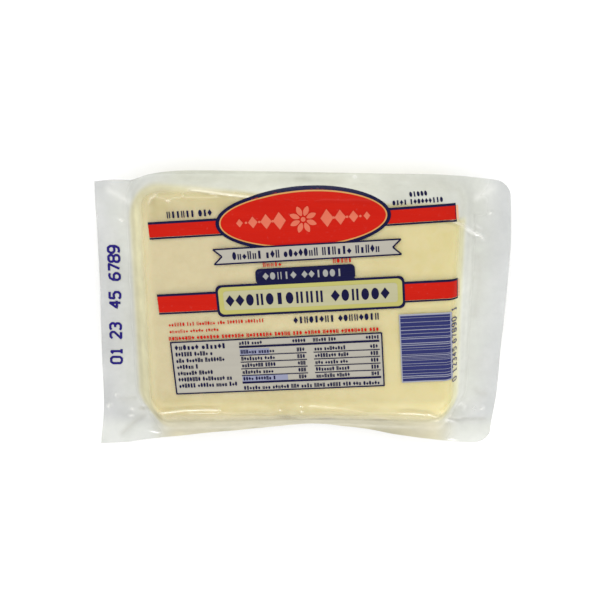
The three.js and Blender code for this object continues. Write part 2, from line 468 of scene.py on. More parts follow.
def cheese_ring(depth, counts):
    """A ring this far inside the cheese's own outline, which bulges past the slab's."""
    ring = slab_ring(depth - SIDE_BULGE, counts)
    x, y = ring[:, 0], ring[:, 1]
    down = BOTTOM_SLACK * near_bottom(x, y) * smoothstep(-12, 0, -depth)
    less = (SIDE_BULGE - TOP_BULGE) * near_top(x, y) * smoothstep(-8, 0, -depth)
    return np.stack([x - LEFT_BULGE * smoothstep(-9, 0, -depth), y - down - less], 1)


# Meshes
def add_object(name, data):
    made = bpy.data.objects.new(name, data)
    bpy.context.scene.collection.objects.link(made)
    return made


def new_piece(name, points, faces, material):
    mesh = bpy.data.meshes.new(name)
    mesh.from_pydata((np.asarray(points) * MM).tolist(), [], faces)
    mesh.validate()
    mesh.materials.append(material)
    mesh.shade_smooth()
    piece = add_object(name, mesh)
    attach(piece, "root")
    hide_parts("sealed_pack")
    return piece


def ring_faces(rings, around, first=0, up=True):
    """Quads between rings, and triangles from the last ring to the point that follows it."""
    faces = []
    for r in range(rings):
        outer = first + r * around
        inner = outer + around
        for i in range(around):
            j = (i + 1) % around
            ends = (inner + i, inner + j) if r < rings - 1 else (inner,)
            face = (outer + i, *ends, outer + j)
            faces.append(face if up else face[::-1])
    return faces


SHARP_ANGLE = math.radians(50)
FILM_COUNTS = (270, 180, 270, 180)
FRONT_INSETS = [0.3 * i for i in range(1, 29)] + [8.4 + 2.0 * i for i in range(1, 17)]
BACK_INSETS = [0.5, 1.5, 3.0, 5.0, 9, 20, 36]
CHEESE_COUNTS = (210, 140, 210, 140)
CHEESE_DEPTHS = [0, 0.05, 0.2, 0.45] + [0.8 + 0.5 * i for i in range(20)]
CHEESE_DEPTHS += [12 + 2.4 * i for i in range(13)]
CHEESE_ROUNDING = 1.7
CHEESE_SINK = 0.08
CHEESE_EDGE_GAP = 0.6
CHEESE_LEAST = 0.4


def with_centre(rings):
    return np.vstack(rings + [[(MIDDLE_X, MIDDLE_Y)]])


def add_layers(mesh, layers):
    for name, values in layers.items():
        layer = mesh.attributes.new(name, "FLOAT", "POINT")
        layer.data.foreach_set("value", np.asarray(values, np.float32))


def film_piece(name, rings, front, material):
    around = sum(FILM_COUNTS)
    xy = with_centre(rings)
    z = film_front(*xy.T) if front else film_back(*xy.T)
    if front:
        # The first ring is the sealed rim's lower edge.
        z[:around] = film_back(*xy[:around].T)
    faces = ring_faces(len(rings), around, up=front)
    piece = new_piece(name, np.column_stack([xy, z]), faces, material)
    add_layers(piece.data, film_states(*xy.T, front))
    piece.data.set_sharp_from_angle(angle=SHARP_ANGLE)


def make_film(material):
    front = film_rings(FILM_COUNTS, 34, 14, FRONT_INSETS)
    film_piece("pouch_film", [front[0]] + front, True, material)
    film_piece("pouch_back", film_rings(FILM_COUNTS, 12, 6, BACK_INSETS), False, material)


# How much of the cheese the film hides, 0 to 1
LOOSE_HAZE, CLINGING_HAZE = 0.55, 0.18
EDGE_HAZE, OVER_HAZE, BELOW_HAZE, RIDGE_HAZE = 0.85, 0.84, 0.82, 0.9
SLOPE_HAZE = 0.32
LEAST_HAZE, MOST_HAZE = 0.15, 0.94
LIGHT_LOSS = 0.15


def strongest(*shares):
    return np.maximum.reduce(shares)


def film_states(x, y, front):
    """What the film shows at each point. cling is its share of the cheese's colour, haze how
    much it hides and lift a factor on its colour, painted light and shade. The others are 1 on a
    sharp ridge, in grooves, near the slab, on the milky bands over and below the slab's face, in
    the dips of the cheese, and where fine wrinkles leave a soft gloss. Ridges are painted whiter,
    partly stretched film and partly painted highlight; grooves and dips get painted shade; the
    film near the slab gets painted light."""
    inset = slab_inset(x, y)
    bottom = near_bottom(x, y)
    fading = near_bottom(x, y, none=63, full=45)
    spread = 1.9 - 0.03 * x - 0.0005 * np.maximum(x, 0) * np.minimum(y, 0)
    reach = inset + spread * smoothstep(50, 36, y) + BOTTOM_SLACK * fading
    inside = inset + SIDE_BULGE + BOTTOM_SLACK * bottom
    cling = smoothstep(-1.4, 1.4, reach)
    over = np.zeros(np.shape(x))
    if front:
        past = y - shoulder(x) + 5.5 * smoothstep(50, 57, x)
        over = smoothstep(-0.5, 2.0, past) * smoothstep(-56, -42, x) * smoothstep(72, 64, x)
    below = smoothstep(-62, -50, -np.abs(x - 2)) * smoothstep(0, 8, -inset) * (y < 0)
    _, whitening_and_highlight, groove_shade = creased(x, y, FRONT_CREASES + FLANGE_CREASES)
    flank = strongest(over_flank(inside), (1 - fading) * over_flank(inset + SIDE_BULGE))
    edge = strongest(hill(reach, 1.2, 2.4), flank)
    haze = LOOSE_HAZE + (CLINGING_HAZE - LOOSE_HAZE) * cling
    haze = haze + (1 - cling) * waves(x, y, *HAZE_SWELL)
    haze = haze + SLOPE_HAZE * bottom * smoothstep(-2, 3, -inset)
    haze = strongest(haze, EDGE_HAZE * edge, OVER_HAZE * over, BELOW_HAZE * below)
    haze = np.clip(strongest(haze, RIDGE_HAZE * whitening_and_highlight), LEAST_HAZE, MOST_HAZE)
    # Painted light: film that is half hazy would darken the cheese, where real film scatters light,
    # so its colour is lifted there.
    lift = 1 + smoothstep(-2, 1, inside) * (1 - haze - LIGHT_LOSS / haze)
    dull = 0.8 * bottom * hill(inset, 1.5, 3) * smoothstep(-30, -24, x)
    # Ridges are painted whiter, partly a painted highlight; grooves and dips get painted shade;
    # film near the slab gets painted light.
    return {
        "cling": cling,
        "haze": haze,
        "lift": lift * painted_light(x, y),
        "whitening_and_highlight": whitening_and_highlight,
        "groove_shade": groove_shade * smoothstep(-2, 2, -inset),
        "near_slab_light": strongest(smoothstep(-17, -4, inset), smoothstep(40, 47, -y)),
        "over": over,
        "below": below,
        "hollow_shade": hollow_shade_mask(x, y),
        "soft": np.clip(strongest(edge, over, below, dull) - whitening_and_highlight, 0, 1),
    }


def over_flank(inside):
    """1 over the cheese's steep side, from how far inside its outline a point lies."""
    return smoothstep(-4.5, -1.2, inside) * smoothstep(6.2, 2.2, inside)


# Places of painted shade on the film and the cheese: x, y, reach x, reach y, and the share
PAINTED_SHADE_PLACES = [(63, -39, 5, 4, 0.14), (36, 44, 8, 4, 0.12), (-60, 48, 9, 7, 0.13)]
SHADED_CORNER = (-51, 43, 8, 7)


def painted_light(x, y):
    """Painted light and shade: lightens the steep sides, which the studio's light reaches less,
    darkens the slope along the bottom, which it strikes, and darkens a few places as painted shade."""
    inset = slab_inset(x, y)
    bottom = near_bottom(x, y, full=44)
    sides = smoothstep(-2.4, -0.6, inset) * smoothstep(6.5, 0.5, inset)
    lighter = (0.2 - 0.0011 * x) * sides * (1 - bottom) * (1 - near_top(x, y))
    slope = bottom * smoothstep(1.5, -2, inset)
    darker = 0.13 * smoothstep(-12.5, -10, inset) + 0.12 * hill(x, 14, 20)
    places = sum(share * bump(x, y, at) for *at, share in PAINTED_SHADE_PLACES)
    return 1 + lighter - darker * slope - places


def hollow_shade_mask(x, y):
    """1 in the dips of the cheese's face, less in the shallow ones, where film and cheese get
    painted shade.
    """
    shares = [min(depth / 0.6, 1) * bump(x, y, at) for *at, depth in HOLLOWS]
    return np.max(shares, axis=0)


def make_cheese(material):
    """The cheese fills the film, rounded where the two films come together."""
    rings = [cheese_ring(depth, CHEESE_COUNTS) for depth in CHEESE_DEPTHS]
    around = sum(CHEESE_COUNTS)
    xy = with_centre(rings)
    x, y = xy.T
    depth = np.append(np.repeat(CHEESE_DEPTHS, around), CHEESE_DEPTHS[-1])
    gap = CHEESE_GAP + CHEESE_EDGE_GAP * smoothstep(5, 0, slab_inset(x, y))
    top = np.minimum(film_front(x, y, creases=False), film_front(x, y)) - gap
    top = top - smoothstep(0, 4, depth) * (CHEESE_SINK + waves(x, y, *CHEESE_SWELL))
    bottom = np.minimum(film_back(x, y, creases=False) + CHEESE_GAP, top - CHEESE_LEAST)
    middle = (top + bottom) / 2
    round_off = np.sqrt(1 - np.clip(1 - depth / CHEESE_ROUNDING, 0, 1) ** 2)
    upper = middle + round_off * (top - middle)
    lower = middle - round_off * (middle - bottom)
    points = np.vstack([np.column_stack([xy, upper]), np.column_stack([xy, lower])])
    below = len(xy)
    faces = ring_faces(len(rings), around) + ring_faces(len(rings), around, below, up=False)
    # The two faces share their outermost ring.
    shared = range(below, below + around)
    faces = [tuple(v - below if v in shared else v for v in face) for face in faces]
    piece = new_piece("cheese_block", points, faces, material)
    drop_loose(piece.data)
    x, y = np.array([v.co[:2] for v in piece.data.vertices]).T / MM
    upper_edge = smoothstep(-9, -1, y - shoulder(x)) * smoothstep(60, 10, x)
    lower_edge = smoothstep(26, 34, -y) * smoothstep(60, 0, x)
    # The cheese gets painted light on its steep sides and painted shade in dips, along its top and
    # bottom edges and at a corner.
    add_layers(piece.data, {
        "hollow_shade": hollow_shade_mask(x, y),
        "shade": strongest(upper_edge, bump(x, y, SHADED_CORNER), lower_edge),
        "green": smoothstep(9, 1, slab_inset(x, y)) * (1 - near_bottom(x, y)),
        "lift": painted_light(x, y),
    })


def drop_loose(mesh):
    shape = bmesh.new()
    shape.from_mesh(mesh)
    bmesh.ops.delete(shape, geom=[v for v in shape.verts if not v.link_faces], context="VERTS")
    shape.to_mesh(mesh)
    shape.free()


# Print on the front film. It has its own axes, u to the right and v up, from the middle of
# the lower panel.
PRINT_ORIGIN = (4.1, 8.9)
PRINT_TURN = 3.0
PRINT_FAN = 0.015
PRINT_LEAN = 4.3
INK_LIFT = 0.10
INK_LAYER = 0.05
INK_THICKNESS = 0.04


def on_pouch(uv):
    uv = np.asarray(uv, float)
    turn = np.radians(PRINT_TURN + PRINT_FAN * uv[..., 1])
    lean = math.radians(PRINT_LEAN)
    x = PRINT_ORIGIN[0] + uv[..., 0] * np.cos(turn) - uv[..., 1] * math.sin(lean)
    y = PRINT_ORIGIN[1] + uv[..., 0] * np.sin(turn) + uv[..., 1] * math.cos(lean)
    return np.stack([x, y], -1)


def steps_for(length, pitch=1.0):
    return max(int(math.ceil(length / pitch)), 1)


# A patch is a grid of points, and whether its columns close on themselves.
def rows_patch(left, right, v):
    """Rows of points between a left and a right edge."""
    left, right, v = np.broadcast_arrays(left, right, v)
    t = np.linspace(0, 1, steps_for(np.max(right - left)) + 1)
    u = left[:, None] * (1 - t) + right[:, None] * t
    return np.stack([u, np.broadcast_to(v[:, None], u.shape)], -1), False


def box_patch(u0, v0, u1, v1):
    return rows_patch(u0, u1, np.linspace(v0, v1, steps_for(v1 - v0) + 1))


def round_patch(u0, v0, u1, v1, radius):
    """A box with rounded corners, in rows that follow its outline."""
    rise_to = radius * (1 - np.cos(np.linspace(0, math.pi / 2, 6)))
    flat = np.linspace(v0 + radius, v1 - radius, steps_for(v1 - v0 - 2 * radius) + 1)
    v = np.concatenate([v0 + rise_to[:-1], flat, (v1 - rise_to[:-1])[::-1]])
    gap = np.maximum(np.maximum(v0 + radius - v, v - v1 + radius), 0)
    inset = radius - np.sqrt(np.maximum(radius**2 - gap**2, 0))
    return rows_patch(u0 + inset, u1 - inset, v)


def oval_patch(cu, cv, ru, rv):
    angle = np.linspace(-math.pi / 2, math.pi / 2, steps_for(math.pi * rv, 0.8) + 4)
    across = ru * np.cos(angle)
    return rows_patch(cu - across, cu + across, cv + rv * np.sin(angle))


def lozenge_patch(cu, cv, ru, rv):
    t = np.linspace(-1, 1, 2 * steps_for(rv) + 1)
    across = ru * (1 - np.abs(t))
    return rows_patch(cu - across, cu + across, cv + rv * t)


def banner_patch(u0, v0, u1, v1, notch):
    """A band with notched ends."""
    t = np.linspace(-1, 1, 7)
    inset = notch * (1 - np.abs(t))
    return rows_patch(u0 + inset, u1 - inset, (v0 + v1) / 2 + t * (v1 - v0) / 2)


def shrunk(box, across, up):
    u0, v0, u1, v1 = box
    return u0 + across, v0 + up, u1 - across, v1 - up


def band_patch(outer, inner):
    """The band between two closed outlines of as many points."""
    return np.stack([np.asarray(outer, float), np.asarray(inner, float)]), True


def round_outline(u0, v0, u1, v1, radius, per_corner=6):
    middles = [(u1, v1, -1, -1), (u0, v1, 1, -1), (u0, v0, 1, 1), (u1, v0, -1, 1)]
    arcs = []
    for corner, (u, v, right, up) in enumerate(middles):
        angle = np.radians(90 * corner + np.linspace(0, 90, per_corner + 1))
        middle = (u + right * radius, v + up * radius)
        arcs.append(middle + radius * np.stack([np.cos(angle), np.sin(angle)], 1))
    points = []
    for arc, next_arc in zip(arcs, arcs[1:] + arcs[:1]):
        way = next_arc[0] - arc[-1]
        count = steps_for(math.hypot(*way))
        points += [arc, arc[-1] + np.arange(1, count)[:, None] / count * way]
    return np.vstack(points)


def round_frame(u0, v0, u1, v1, radius, width):
    """A rounded outline of some width, drawn inwards."""
    outer = round_outline(u0, v0, u1, v1, radius)
    centre = np.array([(u0 + u1) / 2, (v0 + v1) / 2])
    half = np.array([(u1 - u0) / 2, (v1 - v0) / 2])
    inner = centre + (outer - centre) * (half - width) / half
    return band_patch(outer, inner)


def oval_frame(cu, cv, ru, rv, width, count=120):
    angle = np.linspace(0, 2 * math.pi, count, endpoint=False)
    way = np.stack([np.cos(angle), np.sin(angle)], -1)
    outer = np.array([cu, cv]) + way * [ru, rv]
    inner = np.array([cu, cv]) + way * [ru - width, rv - width]
    return band_patch(outer, inner)


def stroke_patch(points, width):
    """A line of some width through points."""
    points = np.asarray(points, float)
    steps = np.hypot(*np.diff(points, axis=0).T)
    along = np.concatenate([[0], np.cumsum(steps)])
    count = steps_for(along[-1], 0.6) + 1
    at = np.unique(np.concatenate([np.linspace(0, along[-1], count), along]))
    line = np.stack([np.interp(at, along, points[:, k]) for k in (0, 1)], 1)
    way = np.gradient(line, axis=0)
    way = way / np.maximum(np.hypot(way[:, 0], way[:, 1]), 1e-9)[:, None]
    side = np.stack([-way[:, 1], way[:, 0]], 1) * width / 2
    return np.stack([line - side, line + side]), False


def patch_faces(rows, columns, closed, flip):
    """Top and bottom quads of a patch, and walls along the edges that only one quad has.
    Bottom points follow the top ones."""
    size = rows * columns
    quads = []
    for r in range(rows - 1):
        here, above = r * columns, (r + 1) * columns
        for k in range(columns if closed else columns - 1):
            n = (k + 1) % columns
            quads.append((here + k, here + n, above + n, above + k))
    edges = {edge for quad in quads for edge in zip(quad, quad[1:] + quad[:1])}
    faces = quads + [tuple(size + q for q in quad[::-1]) for quad in quads]
    faces += [(q, p, size + p, size + q) for p, q in sorted(edges) if (q, p) not in edges]
    return [face[::-1] for face in faces] if flip else faces


def ink(name, patches, layer, slot, material, place=on_pouch):
    """Thin closed solids of ink that lie on the front film."""
    points, faces = [], []
    start = 0
    for grid, closed in patches:
        xy = place(grid).reshape(-1, 2)
        z = film_front(*xy.T) + INK_LIFT + layer * INK_LAYER
        points += [np.column_stack([xy, z + INK_THICKNESS]), np.column_stack([xy, z])]
        along, up = grid[0, 1] - grid[0, 0], grid[1, 0] - grid[0, 0]
        if not along.any():
            along = grid[0, -1] - grid[0, 0] + grid[1, 1] - grid[1, 0]
        flip = along[0] * up[1] - along[1] * up[0] < 0
        made = patch_faces(*grid.shape[:2], closed, flip)
        faces += [[start + v for v in face] for face in made]
        start += 2 * len(xy)
    piece = new_piece(name, np.vstack(points), faces, material)
    piece.data.set_sharp_from_angle(angle=SHARP_ANGLE)


def marks(u0, u1, v0, v1, seed, pitch, longest=9, weight=1.0, low=0.0):
    """A row of beads and reels: lozenges, ovals and stems, in groups as long as words. This
    share of them is low."""
    draw = np.random.default_rng(seed)
    thick, thin = 0.4 * pitch * weight, 0.22 * pitch * weight
    patches = []
    u = u0
    while u + 0.9 * pitch < u1:
        for _ in range(int(draw.integers(3, longest))):
            if u + pitch > u1:
                break
            kind = int(draw.integers(0, 4))
            half = (v1 - v0) / 2 * (0.72 if draw.random() < low else 1)
            middle = u + pitch / 2
            if kind == 0:
                patches.append(box_patch(middle - thick / 2, v0, middle + thick / 2, v0 + 2 * half))
            elif kind == 1:
                for side in (-1, 1):
                    left = middle + side * 0.22 * pitch - thin / 2
                    patches.append(box_patch(left, v0, left + thin, v0 + 2 * half))
            elif kind == 2:
                patches.append(lozenge_patch(middle, v0 + half, 0.45 * pitch, half))
            else:
                patches.append(oval_patch(middle, v0 + half, 0.38 * pitch, half))
            u += pitch
        u += 0.6 * pitch
    return patches


# Digits as strokes on a grid of 4 wide by 6 high
DIGIT_LINES = {
    "0": [[(1, 0), (0, 1), (0, 5), (1, 6), (3, 6), (4, 5), (4, 1), (3, 0), (1, 0)]],
    "1": [[(0.8, 4.8), (2.2, 6), (2.2, 0)], [(0.8, 0), (3.6, 0)]],
    "2": [[(0, 5), (1, 6), (3, 6), (4, 5), (4, 3.8), (0, 0), (4, 0)]],
    "3": [[(0, 5.4), (1, 6), (3, 6), (4, 5), (4, 4), (3, 3.2), (1.6, 3.2)],
          [(3, 3.2), (4, 2.4), (4, 1), (3, 0), (1, 0), (0, 0.6)]],
    "4": [[(3, 0), (3, 6), (0, 2), (4.2, 2)]],
    "5": [[(4, 6), (0.4, 6), (0.2, 3.4), (2.6, 3.8), (4, 2.8), (4, 1), (3, 0), (1, 0), (0, 0.8)]],
    "6": [[(3.8, 5.6), (2.6, 6), (1, 5.6), (0, 4), (0, 1.2), (1, 0), (3, 0), (4, 1.2),
           (4, 2.4), (3, 3.4), (1, 3.4), (0, 2.6)]],
    "7": [[(0, 6), (4, 6), (1.4, 0)]],
    "8": [[(1, 3.2), (0, 4), (0, 5.2), (1, 6), (3, 6), (4, 5.2), (4, 4), (3, 3.2), (1, 3.2),
           (0, 2.2), (0, 0.8), (1, 0), (3, 0), (4, 0.8), (4, 2.2), (3, 3.2)]],
    "9": [[(4, 3.4), (3, 2.6), (1, 2.6), (0, 3.6), (0, 4.8), (1, 6), (3, 6), (4, 4.8), (4, 2),
           (3, 0.4), (1.4, 0), (0.2, 0.4)]],
}


def upward_digits(text, foot, start, height, pitch, line, lean=0.0):
    """Digits that read upwards, their feet on a line to the right that leans by degrees."""
    width = 0.62 * height
    slope = math.tan(math.radians(lean))
    patches = []
    for k, digit in enumerate(text):
        for path in DIGIT_LINES.get(digit, []):
            placed = []
            for a, b in path:
                along = start + k * pitch + a * width / 4
                placed.append((foot - b * height / 6 + along * slope, along))
            patches.append(stroke_patch(placed, line))
    return patches


# Two pairs of bars: left, bottom, right, top
BARS = [
    (-55.5, 24.3, -27, 30.6),
    (27, 24.3, 53.7, 30.6),
    (-55.4, -3.9, -34, 3.8),
    (34, -3.9, 53.7, 3.8),
]
PANEL = (-34.1, -5.9, 34.1, 6.1)
PILL = (-19.2, 5.7, 16.6, 11.4)
BANNER = (-33.5, 13.9, 33.5, 19.4)
BANNER_NOTCH = 3
RULED_BOX = (-52.8, -35.6, 25.2, -14.6)
STRIPE_GROUND = (31.6, -34.5, 51.0, -8.3)
STRIPES = (32.0, -34.0, 50.2, -8.7)
# An oval: middle, half width and half height
PLAQUE = (-0.6, 28.4, 31, 11.2)


def make_print(inks):
    """The print, in layers from 0 up, each above the one before."""
    def lay(name, patches, layer, colour, **how):
        ink(name, patches, layer, *inks[colour], **how)

    lay("pale_ground", [box_patch(*RULED_BOX)], 2, "pale")
    lay("stripe_ground", [box_patch(*STRIPE_GROUND)], 2, "lilac")

    fills, edges, ends = bars()
    lay("red_bars", fills, 0, "red")
    lay("bar_edges", edges, 1, "navy")
    lay("bar_ends", ends, 0, "peach")

    cu, cv, ru, rv = PLAQUE
    lay("plaque_field", [oval_patch(cu, cv, ru - 1.2, rv - 1)], 2, "red")
    lay("plaque_edge", [oval_frame(*PLAQUE, 1.3)], 3, "navy")
    lay("plaque_line", [oval_frame(cu, cv, ru - 1.3, rv - 1.3, 0.5)], 3, "gold")
    lay("plaque_ornament", ornament(cu, cv), 4, "salmon")

    lay("banner_ground", [banner_patch(*BANNER, BANNER_NOTCH)], 5, "pale")
    lay("banner_edge", banner_edges(), 6, "navy")
    lay("banner_marks", marks(-27, 27, 15.2, 18.1, 5, 1.8, 8, weight=1.15, low=0.4), 6, "navy")

    lay("pill", [round_patch(*PILL, 1.6)], 4, "navy")
    lay("pill_marks", marks(-16.8, 14.8, 7.2, 9.9, 6, 2.5, 8, weight=0.6), 5, "cream")

    lay("panel_field", [round_patch(*shrunk(PANEL, 0.7, 0.6), 1.4)], 2, "green")
    lay("panel_middle", [round_patch(*shrunk(PANEL, 2.6, 2.4), 1.2)], 3, "straw")
    lay("panel_edge", [round_frame(*PANEL, 2, 0.85)], 3, "navy")
    lay("panel_marks", marks(-31, 31.4, -2.1, 2.2, 7, 3.6, 11), 4, "navy")

    lay("dark_lines", dark_lines(), 0, "navy")
    lay("red_lines", red_lines(), 0, "red")
    lay("row_tints", row_tints(), 3, "tint")
    lay("box_rules", box_rules(), 4, "navy")
    lay("stripes", stripes(), 3, "indigo")
    lay("code_digits", code_digits(), 0, "code", place=lambda point: point)


def bars():
    """Red fields, their navy edges a little out of register, and a pale end on the right."""
    fills, edges, ends = [], [], []
    for u0, v0, u1, v1 in BARS:
        on_right = u0 > 0
        fills.append(box_patch(u0, v0 + 0.75, u1, v1 - 0.75))
        edges.append(box_patch(u0, v1 - 0.85, u1, v1))
        edges.append(box_patch(u0, v0, u1, v0 + 0.6))
        if on_right:
            edges.append(box_patch(u1 - 0.28, v0, u1, v1))
            ends.append(box_patch(u1, v0 + 0.6, u1 + 0.9, v1 - 0.8))
    return fills, edges, ends


def banner_edges():
    u0, v0, u1, v1 = BANNER
    middle = (v0 + v1) / 2
    corners = [(u0, v1), (u1, v1), (u1 - BANNER_NOTCH, middle)]
    corners += [(u1, v0), (u0, v0), (u0 + BANNER_NOTCH, middle)]
    return [stroke_patch(side, 0.55) for side in zip(corners, corners[1:] + corners[:1])]


def ornament(cu, cv):
    """A rosette between two rows of lozenges and dots."""
    patches = []
    for k in range(8):
        angle = math.radians(45 * k + 22.5)
        way = np.array([math.cos(angle), math.sin(angle)])
        side = np.array([-way[1], way[0]])
        t = np.linspace(0.04, 0.96, 7)
        width = 0.95 * np.sin(np.pi * t) ** 0.8
        line = np.array([cu, cv]) + np.outer(1.2 + 3.9 * t, way)
        across = width[:, None] * side
        patches.append((np.stack([line - across, line + across]), False))
    patches.append(oval_patch(cu, cv, 0.85, 0.85))
    sizes = [(2.3, 3.2), (2.0, 2.7), (1.7, 2.1), (1.2, 1.5)]
    for sign in (-1, 1):
        for k, (width, height) in enumerate(sizes):
            at = cu + sign * (8.4 + 4.7 * k)
            patches.append(lozenge_patch(at, cv, width, height))
            if k < len(sizes) - 1:
                patches.append(oval_patch(at + sign * 2.4, cv, 0.45, 0.45))
    return patches


def dark_lines():
    lines = marks(-48.7, -30.9, 31.6, 34.0, 12, 1.7)
    lines += marks(37.3, 44.2, 33.7, 35.3, 13, 1.35)
    lines += marks(31.0, 50.9, 31.3, 33.0, 14, 1.35, 14)
    lines += marks(-7, 25.4, -9.8, -7.3, 15, 1.9)
    return lines


def red_lines():
    lines = marks(-52.6, -17.1, -8.7, -7.3, 16, 1.0, low=0.5)
    lines += marks(-52.6, -33.8, -11.3, -10.0, 17, 1.0, low=0.5)
    lines += marks(-53.2, 25.2, -14.1, -12.7, 18, 1.2, weight=1.3)
    lines += marks(-16.4, -8.1, 12.0, 13.6, 19, 1.4, low=0.6)
    lines += marks(8.7, 16.0, 12.0, 13.6, 20, 1.4)
    return lines


TABLE_ROWS = 5
TABLE_LEFT, TABLE_RIGHT = -27.6, 24.0
TABLE_COLUMNS = [(TABLE_LEFT, -3.0), (-0.4, TABLE_RIGHT)]


def table_row(row):
    return -20.5 - 2.65 * row


def box_rules():
    """Rules and small marks of a table: a tall left column and two of five rows."""
    patches = [round_frame(*RULED_BOX, 0.3, 0.5)]
    patches += marks(-51.4, -31, -18, -16, 40, 1.5, weight=1.3, low=0.6)
    for row, end in enumerate([-37, -32, -43, -38, -31, -29], 1):
        v = -18.0 - 2.5 * row
        patches += marks(-51.4, end, v, v + 1.7, 40 + row, 1.05, weight=1.5, low=0.5)
    for v in (-18.2, -32.3):
        patches.append(box_patch(TABLE_LEFT, v, TABLE_RIGHT, v + 0.8))
    for column, (u0, u1) in enumerate(TABLE_COLUMNS):
        patches += marks(u0, u0 + 9, -17.0, -15.6, 60 + column, 1.0, weight=1.3, low=0.5)
        patches += marks(u1 - 5, u1, -17.0, -15.6, 62 + column, 1.0, weight=1.3)
        for row in range(TABLE_ROWS):
            v = table_row(row)
            seed = 70 + 9 * column + row
            patches += marks(u0 + 0.3, u0 + 13, v, v + 1.5, seed, 1.0, weight=1.5, low=0.5)
            patches += marks(u1 - 3.6, u1 - 0.2, v, v + 1.5, seed + 20, 1.0, weight=1.5)
            if row < TABLE_ROWS - 1:
                patches.append(box_patch(u0, v - 0.8, u1, v - 0.45))
    patches += marks(-27.4, 23.8, -34.8, -33.2, 110, 1.05, weight=1.4, low=0.5)
    return patches


def row_tints():
    """Blue that has spread round the boldest rows."""
    patches = []
    for row, width in ((0, 11), (4, 17)):
        v = table_row(row)
        patches.append(box_patch(TABLE_LEFT + 0.1, v - 0.4, TABLE_LEFT + width, v + 1.8))
    return patches


def stripes():
    """Plain stripes of mixed widths that encode nothing, and counting digits beside them."""
    draw = np.random.default_rng(5)
    unit = 0.36
    left, v, right, top = STRIPES
    patches = []
    while v < top - 0.7:
        width = unit * int(draw.choice([1, 2, 3, 4]))
        patches.append(box_patch(left, v, right, min(v + width, top)))
        v += width + unit * float(draw.choice([0.5, 0.6, 0.9]))
    for text, start in (("0", -35.9), ("12345", -32.4), ("67890", -20.6), ("1", -8.2)):
        patches += upward_digits(text, 52.9, start, 2.0, 2.15, 0.34)
    return patches


def code_digits():
    """Counting digits up the left flange."""
    rows = [("01", -20.4), ("23", -10.4), ("45", 1.7), ("6789", 12.4)]
    patches = []
    for text, start in rows:
        patches += upward_digits(text, -67.6, start, 4.1, 3.45, 0.92, lean=1.7)
    return patches


# Materials
class Nodes:
    """A short way to build a node tree."""

    def __init__(self, name):
        self.material = bpy.data.materials.new(name)
        self.material.use_nodes = True
        self.tree = self.material.node_tree
        self.tree.nodes.clear()
        self.out = self.add("ShaderNodeOutputMaterial")

    def add(self, kind, inputs=None, **settings):
        node = self.tree.nodes.new(kind)
        for key, value in settings.items():
            setattr(node, key, value)
        for key, value in (inputs or {}).items():
            self.put(node.inputs[key], value)
        return node

    def put(self, socket, value):
        """Links a source to a socket, or sets the socket to a number or a colour."""
        if isinstance(value, bpy.types.NodeSocket):
            self.tree.links.new(value, socket)
        elif socket.type == "RGBA":
            socket.default_value = (*value, 1)
        else:
            socket.default_value = value

    def attribute(self, name):
        return self.add("ShaderNodeAttribute", attribute_name=name).outputs["Fac"]

    def place(self):
        return self.add("ShaderNodeTexCoord").outputs["Object"]

    def noise(self, scale, detail=3.0, roughness=0.5, place=None):
        inputs = {"Vector": place or self.place(), "Scale": scale, "Detail": detail}
        inputs["Roughness"] = roughness
        return self.add("ShaderNodeTexNoise", inputs).outputs["Fac"]

    def mottled(self, scale, first, second):
        return self.mix(self.span(self.noise(scale), 0.3, 0.7, 0, 1), first, second)

    def span(self, source, low, high, to_low, to_high):
        inputs = {"Value": source, "From Min": low, "From Max": high}
        inputs.update({"To Min": to_low, "To Max": to_high})
        return self.add("ShaderNodeMapRange", inputs).outputs["Result"]

    def times(self, first, second):
        inputs = {0: first, 1: second}
        return self.add("ShaderNodeMath", inputs, operation="MULTIPLY").outputs[0]

    def mix(self, factor, first, second):
        inputs = {0: factor, 6: first, 7: second}
        return self.add("ShaderNodeMix", inputs, data_type="RGBA").outputs[2]

    def scaled(self, colour, factor):
        inputs = {0: colour, "Scale": factor}
        return self.add("ShaderNodeVectorMath", inputs, operation="SCALE").outputs[0]

    def bump(self, source, strength, distance):
        inputs = {"Height": source, "Strength": strength, "Distance": distance}
        return self.add("ShaderNodeBump", inputs).outputs["Normal"]

    def finish(self, **values):
        inputs = {key.replace("_", " "): value for key, value in values.items()}
        shader = self.add("ShaderNodeBsdfPrincipled", inputs)
        self.put(self.out.inputs["Surface"], shader.outputs["BSDF"])
        return self.material


def across(n, left, right):
    """0 at one place along X and 1 at another, in mm."""
    split = n.add("ShaderNodeSeparateXYZ", {0: n.place()})
    return n.span(split.outputs["X"], left * MM, right * MM, 0, 1)


# The film's colours at its left and its right end. Each is mottled: scale, first and second tone.
FILM_TONES = {
    "wet": [
        (60, (0.54, 0.473, 0.286), (0.605, 0.534, 0.33)),
        (48, (0.62, 0.55, 0.28), (0.68, 0.615, 0.34)),
    ],
    "wrinkled": [
        (60, (0.54, 0.505, 0.30), (0.605, 0.57, 0.345)),
        (48, (0.62, 0.595, 0.35), (0.68, 0.66, 0.41)),
    ],
    "far": [
        (45, (0.44, 0.45, 0.445), (0.52, 0.53, 0.525)),
        (45, (0.49, 0.505, 0.50), (0.56, 0.575, 0.57)),
    ],
    # The tone near the slab is painted lighter: painted light against the slab's shadow on the
    # floor seen through the film.
    "near": [
        (52, (0.60, 0.615, 0.57), (0.67, 0.685, 0.64)),
        (52, (0.605, 0.62, 0.565), (0.68, 0.695, 0.64)),
    ],
    "over": [
        (38, (0.57, 0.58, 0.485), (0.62, 0.63, 0.535)),
        (38, (0.55, 0.565, 0.51), (0.60, 0.615, 0.56)),
    ],
}
BELOW_TONE = (90, (0.51, 0.472, 0.30), (0.59, 0.546, 0.38))


